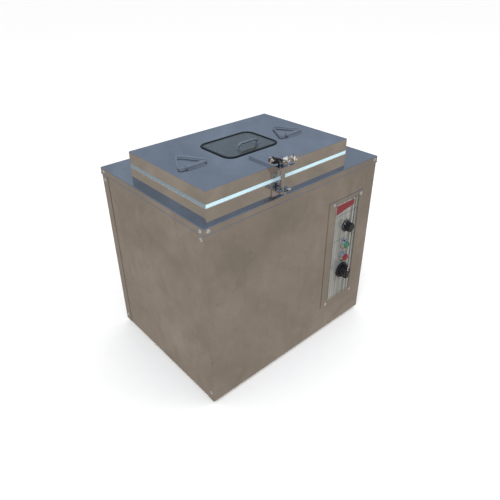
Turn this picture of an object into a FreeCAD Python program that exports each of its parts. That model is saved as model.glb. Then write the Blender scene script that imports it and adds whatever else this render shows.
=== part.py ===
"""Paraffin wax bath: a steel cabinet round a heated tank, with a hinged, glazed lid.

Millimetres. X runs along the front face to the right, Y to the rear and Z up.
The origin is the middle of the footprint, on the surface that the bath stands on.
"""
import FreeCAD, Part

import math
import os

V = FreeCAD.Vector

# ---- driving dimensions ---------------------------------------------------------------------
CASE_W, CASE_D, CASE_H = 428.0, 324.0, 370.0      # cabinet over the deck's flanges, without feet
FOOT_H = 8.0
SHEET = 1.0                                       # cabinet sheet
FLANGE = 13.5                                     # the deck's turned-down edge
BEAD_R, BEAD_OUT = 1.2, 0.8                       # rolled bead along that edge
FRONT_LAP, REAR_LAP = 17.0, 20.0                  # front and rear covers wrap round the sides

LID_W, LID_D, LID_H = 322.0, 216.0, 22.0
LID_X, LID_Y = -41.0, -46.5                       # middle of lid, collar and tank
LID_SHEET = 1.2
COLLAR_H, GASKET_T = 27.5, 6.0
TANK_W, TANK_D, TANK_DEPTH = 280.0, 180.0, 250.0  # inside the wax tank
TANK_R, TANK_FLOOR_R = 15.0, 8.0

COVER_W, COVER_D, COVER_R = 120.0, 90.0, 18.0     # lift-out inspection window
COVER_Y = -43.0
COVER_H, EDGING_W = 7.5, 3.6
GLASS_T = 5.0
LEDGE_DROP = 6.0                                  # the window's ledge below the lid's top
COVER_GAP = 0.5

RING_BASE, RING_REACH, RING_R = 61.0, 53.0, 1.7   # triangular wire pulls
RING_X = {-1: -158.0, 1: 65.0}                    # middles of the left and right pulls
RING_Y = -70.0
BARREL_L, BARREL_R = 34.0, 2.8
HANDLE_X, HANDLE_Y = -36.0, -61.0                 # bow handle on the window
HANDLE_L, HANDLE_H, HANDLE_R = 42.0, 9.0, 2.5

HINGE_X, HINGE_L = 95.0, 50.0                     # from the lid's middle, and leaf length
KNUCKLE_R, HINGE_PIN_R = 4.0, 2.0
HINGE_BACK = 5.0                                  # hinge line behind the lid's rear face

LATCH_X, LATCH_Y = -55.0, -165.0                  # axis of the quarter-turn clamp
LATCH_W, LATCH_PLATE, LATCH_REACH = 33.0, 3.5, 53.5
BOLT_R, NUT_SPAN, NUT_TURN = 4.0, 48.0, -26.0      # the nut's wings rest at an angle to the lid
TEE_L, TEE_W, TEE_H = 14.0, 6.0, 5.0

PANEL_X = 133.0                                   # middle of the control panel
PLATE_X0, PLATE_X1, PANEL_Z0, PANEL_Z1 = 78.0, 181.0, 67.0, 317.5
LABEL_W, LABEL_Z0, LABEL_Z1 = 71.0, 82.0, 309.0
PANEL_T, LABEL_T = 1.2, 0.8
THERMO_Z, GREEN_Z, RED_Z, SWITCH_Z = 253.0, 211.0, 181.0, 147.0
SPINDLE_R, BUSH_R = 3.0, 5.0
LAMP_R, BEZEL_R, BEZEL_H = 7.4, 11.0, 7.0

ELEMENT_R, ELEMENT_PITCH = 4.0, 40.0
SCREW_R, SCREW_HEAD_R, SCREW_HEAD_H = 1.75, 3.5, 1.8
FIT = 0.05                                        # radial running clearance

# ---- derived positions ----------------------------------------------------------------------
X_OUT, Y_OUT = CASE_W / 2, CASE_D / 2
X_WRAP, Y_WRAP = X_OUT - SHEET, Y_OUT - SHEET     # outside of the front and rear covers
X_SIDE = X_WRAP - SHEET                           # outside of the side panels
Z_BASE = FOOT_H
Z_PAN = FOOT_H + SHEET                            # floor of the base pan
Z_DECK = FOOT_H + CASE_H
Z_RIM = Z_DECK + COLLAR_H
Z_SKIRT = Z_RIM + GASKET_T
Z_LID = Z_SKIRT + LID_H
LID_FRONT, LID_REAR = LID_Y - LID_D / 2, LID_Y + LID_D / 2
Z_TANK = Z_RIM - TANK_DEPTH                       # the tank's inside floor
Z_LEDGE = Z_LID - LEDGE_DROP
HINGE_Y, HINGE_Z = LID_REAR + HINGE_BACK, Z_RIM + GASKET_T / 2
X_PARTITION = 108.5
Y_PARTITION = 70.0
Z_TRAY = 86.0
Z_FORK = Z_DECK + 13.0                            # underside of the keeper's fork
Z_TEE = Z_FORK - 0.5                              # top of the bolt's tee foot
Z_NUT = Z_LID + LATCH_PLATE + 1.5
RING_Z = Z_LID + BARREL_R
Y_PANEL = -Y_WRAP - PANEL_T
Y_LABEL = Y_PANEL - LABEL_T
GLAND_REACH = 19.6                                # the gland's length behind the rear cover
X_GLAND, Z_GLAND = 165.0, 55.0


# ---- helpers --------------------------------------------------------------------------------
def box(x0, x1, y0, y1, z0, z1):
    return Part.makeBox(x1 - x0, y1 - y0, z1 - z0, V(x0, y0, z0))


def centred(cx, cy, w, d, z0, z1):
    return box(cx - w / 2, cx + w / 2, cy - d / 2, cy + d / 2, z0, z1)


def rounded(cx, cy, w, d, r, z0, z1):
    """An upright prism with rounded corners."""
    block = centred(cx, cy, w, d, z0, z1)
    return block.makeFillet(r, [e for e in block.Edges if is_upright(e)])


def is_upright(edge):
    a, b = edge.Vertexes[0].Point, edge.Vertexes[-1].Point
    return abs(a.x - b.x) < 1e-6 and abs(a.y - b.y) < 1e-6


def edges_at(shape, z):
    """The edges that lie flat at height z."""
    return [e for e in shape.Edges if all(abs(v.Z - z) < 1e-6 for v in e.Vertexes)]


def rod(r, start, end):
    a, b = V(*start), V(*end)
    return Part.makeCylinder(r, (b - a).Length, a, b - a)


def fused(shapes):
    result = shapes[0]
    for shape in shapes[1:]:
        result = result.fuse(shape)
    return result.removeSplitter()


def cut_all(shape, tools):
    for tool in tools:
        shape = shape.cut(tool)
    return shape


def group(shapes):
    return Part.makeCompound(shapes)


def turned(profile, start, axis):
    """A solid of revolution: profile holds (radius, distance along axis) points."""
    points = [V(r, 0, h) for r, h in profile]
    face = Part.Face(Part.makePolygon(points + [points[0]]))
    solid = face.revolve(V(0, 0, 0), V(0, 0, 1), 360)
    solid.Placement = FreeCAD.Placement(V(*start), FreeCAD.Rotation(V(0, 0, 1), V(*axis)))
    return solid


def bent_path(points, radii, closed=False):
    """Straight runs through the points, joined by tangent arcs of the given radii."""
    points = [V(*p) for p in points]
    count = len(points)
    inner = range(count) if closed else range(1, count - 1)
    bends = {}
    for i in inner:
        before, here, after = points[i - 1], points[i], points[(i + 1) % count]
        u, w = (before - here).normalize(), (after - here).normalize()
        half = u.getAngle(w) / 2
        tangent = radii[i] / math.tan(half)
        middle = here + (u + w).normalize() * (radii[i] / math.sin(half) - radii[i])
        bends[i] = (here + u * tangent, middle, here + w * tangent)
    edges = []
    for i in range(count if closed else count - 1):
        j = (i + 1) % count
        start = bends[i][2] if i in bends else points[i]
        end = bends[j][0] if j in bends else points[j]
        edges.append(Part.LineSegment(start, end).toShape())
        if j in bends:
            edges.append(Part.Arc(*bends[j]).toShape())
    return Part.Wire(edges)


def tube(r, wire):
    """A round bar along a wire."""
    first = wire.Edges[0]
    start = first.valueAt(first.FirstParameter)
    circle = Part.Circle(start, first.tangentAt(first.FirstParameter), r).toShape()
    return wire.makePipeShell([Part.Wire([circle])], True, False)


def screw(x, y, z, axis, shank):
    """A domed cross-head screw: its head stands along axis, its shank goes the other way."""
    out = V(*axis)
    sphere_r = (SCREW_HEAD_R ** 2 + SCREW_HEAD_H ** 2) / (2 * SCREW_HEAD_H)
    seat = V(x, y, z)
    ball = Part.makeSphere(sphere_r, seat - out * (sphere_r - SCREW_HEAD_H))
    head = ball.common(Part.makeCylinder(SCREW_HEAD_R, SCREW_HEAD_H, seat, out))
    body = head.fuse(Part.makeCylinder(SCREW_R, shank, seat - out * shank, out))
    side = V(0, 0, 1) if abs(out.z) < 0.5 else V(1, 0, 0)
    for direction in (side, out.cross(side)):
        slot = Part.makeBox(4.0, 0.8, 1.0, V(-2.0, -0.4, 0))
        frame = FreeCAD.Rotation(direction, out.cross(direction), out, "ZXY")
        slot.Placement = FreeCAD.Placement(seat + out * (SCREW_HEAD_H - 0.8), frame)
        body = body.cut(slot)
    return body


def screw_hole(x, y, z, axis, depth):
    out = V(*axis)
    return Part.makeCylinder(SCREW_R + FIT, depth + 2, V(x, y, z) - out * depth, out)


# ---- screw places: seat point and outward axis -----------------------------------------------
def side_screws():
    """Cabinet screws through the laps of the front and rear covers and the deck's flanges."""
    places = []
    for s in (-1, 1):
        for y, z in ((-153.0, 357.0), (-154.5, 27.0), (151.0, 354.0), (151.0, 23.0)):
            places.append((s * X_WRAP, y, z, (s, 0, 0)))
        for y in (-153.0, 150.0):
            places.append((s * X_OUT, y, Z_DECK - 6.5, (s, 0, 0)))
        for t in (-1, 1):
            places.append((s * 205.0, t * Y_OUT, Z_DECK - 6.0, (0, t, 0)))
    return places


def panel_screws():
    return [(PANEL_X + s * 40.5, Y_PANEL, z, (0, -1, 0)) for s in (-1, 1) for z in (74.0, 310.5)]


CASE_SHANK, PANEL_SHANK = 3.2, 3.4


def casing_drills():
    return [screw_hole(*place, CASE_SHANK) for place in side_screws()]


def panel_drills():
    return [screw_hole(*place, PANEL_SHANK) for place in panel_screws()]


def control_holes(clear=0.0):
    """The holes that the two bushes and the two lamps pass through."""
    depth = (-Y_WRAP - 20, -Y_WRAP + 20)
    sizes = ((SWITCH_Z, BUSH_R), (THERMO_Z, BUSH_R), (GREEN_Z, LAMP_R), (RED_Z, LAMP_R))
    return [rod(r + FIT + clear, (PANEL_X, depth[0], z), (PANEL_X, depth[1], z)) for z, r in sizes]


# ---- cabinet --------------------------------------------------------------------------------
def base_pan():
    tray = box(-X_SIDE + SHEET, X_SIDE - SHEET, -Y_WRAP + SHEET, Y_WRAP - SHEET, Z_BASE, Z_BASE + 13)
    inside = box(-X_SIDE + 2 * SHEET, X_SIDE - 2 * SHEET, -Y_WRAP + 2 * SHEET, Y_WRAP - 2 * SHEET,
                 Z_BASE + SHEET, Z_BASE + 14)
    holes = [rod(2.5 + FIT, (x, y, 0), (x, y, 20)) for x, y in foot_places()]
    return cut_all(tray.cut(inside), holes)


def wrap_cover(front):
    """A face with two side laps, folded with a small radius."""
    s = -1 if front else 1
    lap = FRONT_LAP if front else REAR_LAP
    y0, y1 = sorted((s * Y_WRAP, s * (Y_WRAP - lap)))
    outer = box(-X_WRAP, X_WRAP, y0, y1, Z_BASE, Z_DECK - SHEET)
    folds = [e for e in outer.Edges if is_upright(e) and abs(e.Vertexes[0].Y - s * Y_WRAP) < 1e-6]
    outer = outer.makeFillet(1.5, folds)
    i0, i1 = sorted((s * (Y_WRAP - SHEET), s * (Y_WRAP - lap - 1)))
    return outer.cut(box(-X_WRAP + SHEET, X_WRAP - SHEET, i0, i1, Z_BASE - 1, Z_DECK))


def front_panel():
    return cut_all(wrap_cover(True), casing_drills() + panel_drills() + control_holes())


def rear_panel():
    cover = cut_all(wrap_cover(False), casing_drills())
    vents = []
    for row in range(7):
        z = 250.0 + 12.0 * row
        for x in (95.0, 150.0):
            slot = box(x - 18, x + 18, Y_WRAP - 5, Y_WRAP + 5, z - 2, z + 2)
            ends = [e for e in slot.Edges if abs(e.tangentAt(0).y) > 0.9]
            vents.append(slot.makeFillet(1.9, ends))
    gland = rod(9.3, (X_GLAND, Y_WRAP - 5, Z_GLAND), (X_GLAND, Y_WRAP + 5, Z_GLAND))
    return cut_all(cover, vents + [gland])


def side_panel(s):
    x0, x1 = sorted((s * X_SIDE, s * (X_SIDE - SHEET)))
    panel = box(x0, x1, -Y_WRAP + SHEET, Y_WRAP - SHEET, Z_BASE, Z_DECK - SHEET)
    return cut_all(panel, casing_drills())


def flange_bead():
    """A rounded bead along the lower edge of the deck's flange."""
    x, y, z = X_OUT + BEAD_OUT, Y_OUT + BEAD_OUT, Z_DECK - FLANGE
    block = box(-x, x, -y, y, z, z + 2 * BEAD_R)
    block = block.makeFillet(1.9, [e for e in block.Edges if is_upright(e)])
    return block.makeFillet(BEAD_R - 0.1, edges_at(block, z) + edges_at(block, z + 2 * BEAD_R))


def top_deck():
    outer = box(-X_OUT, X_OUT, -Y_OUT, Y_OUT, Z_DECK - FLANGE, Z_DECK)
    outer = outer.makeFillet(1.9, [e for e in outer.Edges if is_upright(e)])
    outer = fused([outer.makeFillet(1.6, edges_at(outer, Z_DECK)), flange_bead()])
    inside = box(-X_WRAP, X_WRAP, -Y_WRAP, Y_WRAP, Z_DECK - FLANGE - 1, Z_DECK - SHEET)
    mouth = centred(LID_X, LID_Y, LID_W - 20, LID_D - 20, Z_DECK - 5, Z_DECK + 5)
    return cut_all(outer.cut(inside), [mouth] + casing_drills())


def foot_places():
    return [(sx * (X_OUT - 35), sy * (Y_OUT - 35)) for sx in (-1, 1) for sy in (-1, 1)]


def feet():
    profile = [(2.55, 4), (5.2, 4), (5.2, 0), (13, 0), (14, 1), (15.5, FOOT_H), (2.55, FOOT_H)]
    return group([turned(profile, (x, y, 0), (0, 0, 1)) for x, y in foot_places()])


def foot_screws():
    profile = [(0, 1.2), (4.3, 1.2), (4.6, 4), (2.5, 4), (2.5, 14.5), (0, 14.5)]
    nut = [(2.5, 9), (4.6, 9), (4.6, 13), (2.5, 13)]
    screws = []
    for x, y in foot_places():
        screws.append(turned(profile, (x, y, 0), (0, 0, 1)).fuse(turned(nut, (x, y, 0), (0, 0, 1))))
    return group([s.removeSplitter() for s in screws])


# ---- tank and its jacket --------------------------------------------------------------------
def tank_collar():
    outer = rounded(LID_X, LID_Y, LID_W, LID_D, 2.0, Z_DECK, Z_RIM - LID_SHEET)
    bore = centred(LID_X, LID_Y, LID_W - 2 * LID_SHEET, LID_D - 2 * LID_SHEET, Z_DECK + LID_SHEET, Z_RIM)
    mouth = centred(LID_X, LID_Y, LID_W - 20, LID_D - 20, Z_DECK - 1, Z_RIM)
    return outer.cut(bore).cut(mouth)


def inner_tank():
    wall = LID_SHEET
    body = rounded(LID_X, LID_Y, TANK_W + 2 * wall, TANK_D + 2 * wall, TANK_R + wall, Z_TANK - wall, Z_RIM)
    body = body.makeFillet(TANK_FLOOR_R + wall, edges_at(body, Z_TANK - wall))
    rim = rounded(LID_X, LID_Y, LID_W, LID_D, 2.0, Z_RIM - wall, Z_RIM)
    inside = rounded(LID_X, LID_Y, TANK_W, TANK_D, TANK_R, Z_TANK, Z_RIM + 5)
    inside = inside.makeFillet(TANK_FLOOR_R, edges_at(inside, Z_TANK))
    return fused([body, rim]).cut(inside)


def partition_right():
    wall = box(X_PARTITION, X_PARTITION + SHEET, -Y_WRAP + 2.5, Y_PARTITION + SHEET, Z_PAN, Z_DECK - 1.5)
    foot = box(X_PARTITION, X_PARTITION + 15, -Y_WRAP + 2.5, Y_PARTITION + SHEET, Z_PAN, Z_PAN + SHEET)
    holes = [rod(ELEMENT_R + 0.6, (X_PARTITION - 5, y, element_z()), (X_PARTITION + 5, y, element_z()))
             for y in (element_y(0), element_y(3))]
    holes.append(rod(2.0, (X_PARTITION - 5, -112, 225), (X_PARTITION + 5, -112, 225)))
    return cut_all(fused([wall, foot]), holes)


def partition_rear():
    wall = box(-X_SIDE + 2.5, X_PARTITION - 0.2, Y_PARTITION, Y_PARTITION + SHEET, Z_PAN, Z_DECK - 1.5)
    foot = box(-X_SIDE + 2.5, X_PARTITION - 0.2, Y_PARTITION, Y_PARTITION + 15, Z_PAN, Z_PAN + SHEET)
    return fused([wall, foot])


def insulation_tray():
    x0, x1 = -X_SIDE + 2.5, X_PARTITION - 0.4
    y0, y1 = -Y_WRAP + 2.5, Y_PARTITION - 0.4
    outer = box(x0, x1, y0, y1, Z_PAN, Z_TRAY)
    return outer.cut(box(x0 + SHEET, x1 - SHEET, y0 - 1, y1 + 1, Z_PAN - 1, Z_TRAY - SHEET))


def insulation_jacket():
    outer = box(-X_SIDE + 2.5, X_PARTITION - 0.4, -Y_WRAP + 2.5, Y_PARTITION - 0.4, Z_TRAY, Z_DECK - 1.5)
    hollow = rounded(LID_X, LID_Y, TANK_W + 2.8, TANK_D + 2.8, TANK_R + 1.4, Z_TRAY - 1, Z_DECK)
    bulb = box(LID_X + TANK_W / 2, X_PARTITION, -118, 10, 219, 231)
    leads = [box(LID_X + TANK_W / 2 - 5, X_PARTITION, y - 6, y + 6, element_z() - 6, element_z() + 6)
             for y in (element_y(0), element_y(3))]
    return cut_all(outer.cut(hollow), [bulb] + leads)


def insulation_base():
    return rounded(LID_X, LID_Y, TANK_W + 2, TANK_D + 2, TANK_R + 1, Z_TRAY, 134.0)


def element_z():
    return Z_TANK - LID_SHEET - ELEMENT_R


def element_y(run):
    return LID_Y + (run - 1.5) * ELEMENT_PITCH


def heating_element():
    """A tubular element folded into four runs under the tank's floor."""
    left, right, end = LID_X - 115, LID_X + 95, X_PARTITION + 16
    z, points = element_z(), []
    turns = ((end, left), (left, right), (right, left), (left, end))
    for run, (a, b) in enumerate(turns):
        points += [(a, element_y(run), z), (b, element_y(run), z)]
    radii = [ELEMENT_PITCH / 2 - 0.01] * len(points)
    element = tube(ELEMENT_R, bent_path(points, radii))
    tips = [rod(1.5, (end, y, z), (end + 10, y, z)) for y in (element_y(0), element_y(3))]
    return fused([element] + tips)


def clamp_places():
    return [(LID_X + dx, y) for dx in (-90, 0, 80) for y in (element_y(0.5), element_y(2.5))]


def element_clamps():
    top = element_z() - ELEMENT_R
    bars = []
    for dx in (-90, 0, 80):
        bar = centred(LID_X + dx, LID_Y, 20, 3 * ELEMENT_PITCH + 16, top - 3, top)
        drills = [rod(3.3, (x, y, top - 5), (x, y, top + 5)) for x, y in clamp_places()]
        bars.append(cut_all(bar, drills))
    return group(bars)


def clamp_studs():
    top, under = Z_TANK - LID_SHEET, element_z() - ELEMENT_R - 3
    profile = [(0, top), (3, top), (3, under), (5.5, under), (5.5, under - 5), (3, under - 5),
               (3, under - 7), (0, under - 7)]
    return group([turned(profile, (x, y, 0), (0, 0, 1)) for x, y in clamp_places()])


# ---- controls -------------------------------------------------------------------------------
def spindle_bore(z, depth):
    return rod(SPINDLE_R + FIT, (PANEL_X, -Y_WRAP - 30, z), (PANEL_X, -Y_WRAP + SHEET + depth, z))


def control_body(z, size, depth):
    """A square body behind the panel with a threaded bush through it."""
    y0 = -Y_WRAP + SHEET
    body = box(PANEL_X - size / 2, PANEL_X + size / 2, y0, y0 + depth, z - size / 2, z + size / 2)
    long_edges = [e for e in body.Edges if abs(e.tangentAt(0).y) > 0.9]
    body = body.makeFillet(3.0, long_edges)
    bush = rod(BUSH_R, (PANEL_X, Y_LABEL - 2.8, z), (PANEL_X, y0, z))
    lugs = [box(PANEL_X - 10 + 8 * i, PANEL_X - 6 + 8 * i, y0 + depth, y0 + depth + 7, z - 0.5, z + 0.5)
            for i in range(3)]
    return fused([body, bush] + lugs).cut(spindle_bore(z, 12))


def thermostat_body():
    return control_body(THERMO_Z, 44.0, 38.0)


def selector_switch():
    return control_body(SWITCH_Z, 34.0, 34.0)


def thermostat_probe():
    """The bulb against the tank's wall, and the capillary that joins it to the thermostat."""
    x = LID_X + TANK_W / 2 + LID_SHEET + 3.3
    y_cap, y_back = -112.0, -Y_WRAP + SHEET + 38.0
    bulb = rod(3.2, (x, -100, 225), (x, -12, 225))
    z_exit = THERMO_Z - 8
    points = [(x, -100, 225), (x, y_cap, 225), (PANEL_X, y_cap, 225), (PANEL_X, y_cap, z_exit),
              (PANEL_X, y_back, z_exit)]
    line = tube(0.9, bent_path(points, [0, 5, 5, 4, 0]))
    return fused([bulb, line])


def bush_nuts():
    nuts = []
    for z in (SWITCH_Z, THERMO_Z):
        corners = [math.radians(60 * i) for i in range(6)]
        hexagon = [V(PANEL_X + 8 * math.cos(a), Y_LABEL, z + 8 * math.sin(a)) for a in corners]
        nut = Part.Face(Part.makePolygon(hexagon + [hexagon[0]])).extrude(V(0, -2.4, 0))
        nuts.append(nut.cut(rod(BUSH_R, (PANEL_X, Y_LABEL - 5, z), (PANEL_X, Y_LABEL + 5, z))))
    return group(nuts)


def panel_plate():
    plate = box(PLATE_X0, PLATE_X1, Y_PANEL, -Y_WRAP, PANEL_Z0, PANEL_Z1)
    corners = [e for e in plate.Edges if abs(e.tangentAt(0).y) > 0.9]
    plate = plate.makeFillet(2.0, corners)
    return cut_all(plate, panel_drills() + control_holes())


def label_plate():
    plate = box(PANEL_X - LABEL_W / 2, PANEL_X + LABEL_W / 2, Y_LABEL, Y_PANEL, LABEL_Z0, LABEL_Z1)
    corners = [e for e in plate.Edges if abs(e.tangentAt(0).y) > 0.9]
    return cut_all(plate.makeFillet(1.5, corners), control_holes())


def lamp_bezel(z):
    r = LAMP_R + 0.1
    profile = [(r, 0), (BEZEL_R, 0), (BEZEL_R, 1.8), (BEZEL_R - 2.0, BEZEL_H - 1), (r + 0.9, BEZEL_H),
               (r, BEZEL_H)]
    return turned(profile, (PANEL_X, Y_LABEL, z), (0, -1, 0))


def lamp(z):
    """A domed lens with its holder through the panel."""
    cap = [(0, -26), (LAMP_R - 0.5, -26), (LAMP_R - 0.5, -2), (LAMP_R, -2), (LAMP_R, BEZEL_H + 0.4)]
    dome = [(LAMP_R * math.cos(math.radians(a)), BEZEL_H + 0.4 + 4.2 * math.sin(math.radians(a)))
            for a in range(15, 90, 15)]
    return turned(cap + dome + [(0, BEZEL_H + 4.6)], (PANEL_X, Y_LABEL, z), (0, -1, 0))


def spindle(z, depth):
    front = Y_LABEL - 9.0
    shaft = rod(SPINDLE_R, (PANEL_X, front, z), (PANEL_X, -Y_WRAP + SHEET + depth - 1, z))
    flat = box(PANEL_X - 4, PANEL_X + 4, front - 1, front + 5, z + SPINDLE_R - 1, z + SPINDLE_R + 1)
    return shaft.cut(flat)


def pointer_knob(z, skirt_r, grip_r, height):
    """A skirted pointer knob: a round skirt and a tapered grip bar across it."""
    y = Y_LABEL - 0.6
    skirt = turned([(0, 0), (skirt_r, 0), (skirt_r, 2.6), (skirt_r - 1.6, 4.2), (0, 4.2)], (PANEL_X, y, z),
                   (0, -1, 0))
    top = height - 1.0
    hub = turned([(0, 4.2), (grip_r, 4.2), (grip_r - 1.2, top), (0, top)], (PANEL_X, y, z), (0, -1, 0))
    half = skirt_r - 1.8
    outline = [(-4.0, -half + 2), (4.0, -half + 2), (4.6, 0), (1.4, half), (-1.4, half), (-4.6, 0)]
    face = Part.Face(Part.makePolygon([V(PANEL_X + a, y - 3, z + b) for a, b in outline + outline[:1]]))
    bar = face.extrude(V(0, 3 - height, 0))
    return fused([cut_all(fused([skirt, hub, bar]), knob_sockets(z)), knob_flat(z)])


def dial_knob(z, skirt_r, grip_r, height):
    """A fluted grip on a sloping skirt that carries the temperature marks."""
    y = Y_LABEL - 0.6
    profile = [(0, 0), (skirt_r, 0), (skirt_r, 1.2), (grip_r + 0.4, 4.6), (grip_r, height - 1.2),
               (grip_r - 1.2, height), (0, height)]
    body = turned(profile, (PANEL_X, y, z), (0, -1, 0))
    flutes = []
    for i in range(16):
        a = 2 * math.pi * i / 16
        x, h = PANEL_X + (grip_r + 0.5) * math.cos(a), z + (grip_r + 0.5) * math.sin(a)
        flutes.append(rod(1.1, (x, y - 5.2, h), (x, y - height - 1, h)))
    return fused([cut_all(body, flutes + knob_sockets(z)), knob_flat(z)])


def knob_sockets(z):
    """The recess that clears the bush nut, and the spindle's socket."""
    y = Y_LABEL - 0.6
    return [rod(9.0, (PANEL_X, y + 1, z), (PANEL_X, y - 2.6, z)),
            rod(SPINDLE_R, (PANEL_X, y + 1, z), (PANEL_X, Y_LABEL - 9.0, z))]


def knob_flat(z):
    """The flat inside the knob's socket that keys it to its spindle."""
    front = Y_LABEL - 9.0
    chord = rod(SPINDLE_R, (PANEL_X, front, z), (PANEL_X, front + 5, z))
    return chord.common(box(PANEL_X - 4, PANEL_X + 4, front, front + 5, z + SPINDLE_R - 1, z + SPINDLE_R + 1))


def terminal_block():
    """A strip of terminals on the base pan, with a barrier between each pair of poles."""
    top = Z_PAN + 21.5
    block = box(150, 176, 20, 110, Z_PAN, top)
    gaps = [box(149, 177, 29.0 + 10 * i, 31.0 + 10 * i, top - 6, top + 2) for i in range(8)]
    wells = [rod(2.4, (163, 24.5 + 10 * i, top - 8), (163, 24.5 + 10 * i, top + 2)) for i in range(9)]
    return cut_all(block, gaps + wells)


def cable_gland():
    y = Y_WRAP
    profile = [(4.2, -11), (9.25, -11), (9.25, 0), (12.5, 0), (12.5, 6), (10.8, 6.6), (10.8, 8.2), (12, 8.8),
               (12, 16), (9.0, GLAND_REACH), (4.2, GLAND_REACH)]
    return turned(profile, (X_GLAND, y, Z_GLAND), (0, 1, 0))


def gland_locknut():
    profile = [(9.25, -1), (12.5, -1), (12.5, -5), (9.25, -5)]
    return turned(profile, (X_GLAND, Y_WRAP, Z_GLAND), (0, 1, 0))


# ---- lid ------------------------------------------------------------------------------------
def lid_shell():
    outer = rounded(LID_X, LID_Y, LID_W, LID_D, 2.0, Z_SKIRT, Z_LID)
    outer = outer.makeFillet(1.1, edges_at(outer, Z_LID))
    inner = centred(LID_X, LID_Y, LID_W - 2 * LID_SHEET, LID_D - 2 * LID_SHEET, Z_SKIRT - 1, Z_LID - LID_SHEET)
    window = cover_outline(COVER_GAP, Z_SKIRT - 1, Z_LID + 1)
    return outer.cut(inner).cut(window)


def cover_outline(grow, z0, z1):
    """The inspection window's outline, grown outwards."""
    w, d = COVER_W + 2 * grow, COVER_D + 2 * grow
    return rounded(LID_X, COVER_Y, w, d, COVER_R + grow, z0, z1)


def window_frame():
    """The pocket that the window sits in: an upper wall, a ledge and a lower wall to the liner."""
    top = Z_LID - LID_SHEET
    upper = cover_outline(COVER_GAP + 1, Z_LEDGE - 1, top).cut(cover_outline(COVER_GAP, Z_LEDGE, top + 1))
    lower = cover_outline(-EDGING_W, Z_SKIRT + SHEET, Z_LEDGE - 1)
    shaft = cover_outline(-EDGING_W - 1, Z_SKIRT, Z_LID)
    return fused([upper, lower]).cut(shaft)


def lid_liner():
    plate = centred(LID_X, LID_Y, LID_W - 2 * LID_SHEET, LID_D - 2 * LID_SHEET, Z_SKIRT, Z_SKIRT + SHEET)
    return plate.cut(cover_outline(-EDGING_W - 1, Z_SKIRT - 1, Z_LID))


def lid_insulation():
    gap = 0.2
    slab = centred(LID_X, LID_Y, LID_W - 2 * LID_SHEET - 2 * gap, LID_D - 2 * LID_SHEET - 2 * gap,
                   Z_SKIRT + SHEET + gap, Z_LID - LID_SHEET - gap)
    return slab.cut(cover_outline(COVER_GAP + 1 + gap, Z_SKIRT, Z_LID))


def lid_gasket():
    outer = rounded(LID_X, LID_Y, LID_W, LID_D, 2.0, Z_RIM, Z_SKIRT)
    return outer.cut(rounded(LID_X, LID_Y, LID_W - 36, LID_D - 32, 8.0, Z_RIM - 1, Z_SKIRT + 1))


def cover_edging():
    outer = cover_outline(0, Z_LEDGE, Z_LEDGE + COVER_H)
    outer = outer.makeFillet(1.2, edges_at(outer, Z_LEDGE + COVER_H))
    inner = cover_outline(-EDGING_W, Z_LEDGE - 1, Z_LID + 5)
    return outer.cut(inner).cut(cover_glass())


def cover_glass():
    z0 = Z_LEDGE + 1.3
    return cover_outline(-2.0, z0, z0 + GLASS_T)


def cover_glass_drilled():
    holes = [rod(2.2 + FIT, (x, HANDLE_Y, Z_LEDGE - 5), (x, HANDLE_Y, Z_LID + 9)) for x in handle_feet()]
    return cut_all(cover_glass(), holes)


def handle_feet():
    return (HANDLE_X - HANDLE_L / 2, HANDLE_X + HANDLE_L / 2)


def cover_handle():
    """A bow of round bar on two collars, with threaded tails through the glass."""
    seat = Z_LEDGE + 1.3 + GLASS_T
    a, b = handle_feet()
    top = seat + HANDLE_H
    points = [(a, HANDLE_Y, seat), (a, HANDLE_Y, top), (b, HANDLE_Y, top), (b, HANDLE_Y, seat)]
    bow = tube(HANDLE_R, bent_path(points, [0, 5.5, 5.5, 0]))
    collars = [rod(4.5, (x, HANDLE_Y, seat), (x, HANDLE_Y, seat + 1.2)) for x in (a, b)]
    tails = [rod(2.2, (x, HANDLE_Y, seat - 10), (x, HANDLE_Y, seat)) for x in (a, b)]
    return fused([bow] + collars + tails)


def cover_nuts():
    seat = Z_LEDGE + 1.3
    profile = [(2.2, 0), (5.5, 0), (5.5, -1), (4.0, -1), (4.0, -4), (2.2, -4)]
    return group([turned(profile, (x, HANDLE_Y, seat), (0, 0, 1)) for x in handle_feet()])


def ring_bracket(s):
    """A rolled barrel on a plate that is welded to the lid."""
    x = RING_X[s]
    half = BARREL_L / 2
    barrel = rod(BARREL_R, (x - half, RING_Y, RING_Z), (x + half, RING_Y, RING_Z))
    plate = box(x - half, x + half, RING_Y - 9, RING_Y, Z_LID, Z_LID + 1.2)
    bore = rod(RING_R + FIT, (x - half - 1, RING_Y, RING_Z), (x + half + 1, RING_Y, RING_Z))
    return fused([barrel, plate]).cut(bore)


def ring_pull(s):
    x = RING_X[s]
    half = RING_BASE / 2
    points = [(x, RING_Y, RING_Z), (x + half, RING_Y, RING_Z), (x, RING_Y + RING_REACH, RING_Z),
              (x - half, RING_Y, RING_Z)]
    return tube(RING_R, bent_path(points[1:], [5, 6, 5], closed=True))


# ---- hinges ---------------------------------------------------------------------------------
def knuckle(x0, x1, z0, z1, bore_r):
    """A barrel with the web that joins it to its leaf."""
    barrel = rod(KNUCKLE_R, (x0, HINGE_Y, HINGE_Z), (x1, HINGE_Y, HINGE_Z))
    web = box(x0, x1, LID_REAR, HINGE_Y, z0, z1)
    return fused([barrel, web]).cut(rod(bore_r, (x0 - 1, HINGE_Y, HINGE_Z), (x1 + 1, HINGE_Y, HINGE_Z)))


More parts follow.
